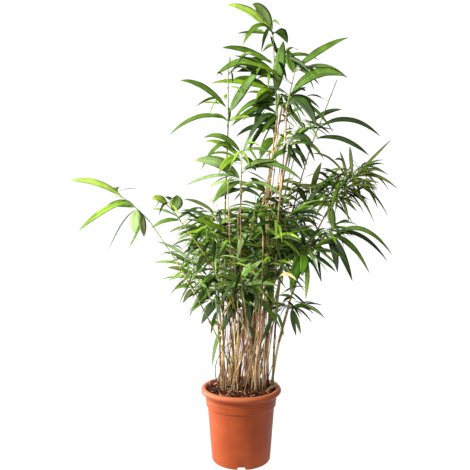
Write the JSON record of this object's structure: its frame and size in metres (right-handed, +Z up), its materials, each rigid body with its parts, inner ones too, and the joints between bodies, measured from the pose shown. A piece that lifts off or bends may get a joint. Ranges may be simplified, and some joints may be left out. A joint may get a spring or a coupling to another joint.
{
  "type": "potted bamboo",
  "caption": "Clump of arrow bamboo with upright and arching canes and sprays of long narrow leaves, in a rolled-rim plastic nursery pot.",
  "frame": {"origin": "centre of the pot's underside, on the ground", "axes": "+Z up, +X to the right of the plant's front, -Y towards the front"},
  "size_m": [1.0893, 0.7586, 1.5874],
  "materials": {
    "pot": "satin terracotta-coloured plastic",
    "compost": "rough bark compost",
    "culm": "smooth straw-coloured cane",
    "leaf": "satin green leaf"
  },
  "bodies": {
    "root": {"culm_back_centre": "culm", "culm_back_left": "culm", "culm_back_right": "culm", "culm_back_tall": "culm", "culm_centre": "culm", "culm_far_left": "culm", "culm_front": "culm", "culm_front_left": "culm", "culm_front_right": "culm", "culm_green": "culm", "culm_grey": "culm", "culm_inner_back": "culm", "culm_inner_front": "culm", "culm_inner_left": "culm", "culm_left_tall": "culm", "culm_main": "culm", "culm_reddish": "culm", "culm_right": "culm", "culm_second": "culm", "culm_second_left": "culm", "culm_stub": "culm", "culm_thin_right": "culm", "leaves_back_centre_top": "leaf", "leaves_back_left_top": "leaf", "leaves_back_right_top": "leaf", "leaves_back_tall_top": "leaf", "leaves_centre_mid": "leaf", "leaves_centre_top": "leaf", "leaves_far_left_mid": "leaf", "leaves_far_left_tip": "leaf", "leaves_front_fan": "leaf", "leaves_front_left_top": "leaf", "leaves_front_right_top": "leaf", "leaves_green_mid": "leaf", "leaves_green_top": "leaf", "leaves_grey_mid": "leaf", "leaves_inner_back_top": "leaf", "leaves_inner_front_top": "leaf", "leaves_inner_left_top": "leaf", "leaves_left_foot": "leaf", "leaves_left_tall_high": "leaf", "leaves_left_tall_mid": "leaf", "leaves_left_tall_top": "leaf", "leaves_main_mid": "leaf", "leaves_reddish_mid": "leaf", "leaves_reddish_top": "leaf", "leaves_right_bough": "leaf", "leaves_right_droop": "leaf", "leaves_right_foot": "leaf", "leaves_right_low": "leaf", "leaves_right_thin_top": "leaf", "leaves_second_left_mid": "leaf", "leaves_second_left_tip": "leaf", "leaves_second_mid": "leaf", "leaves_second_top": "leaf", "leaves_thin_right_top": "leaf", "leaves_top": "leaf", "pot": "pot", "soil": "compost"}
  },
  "joints": []
}
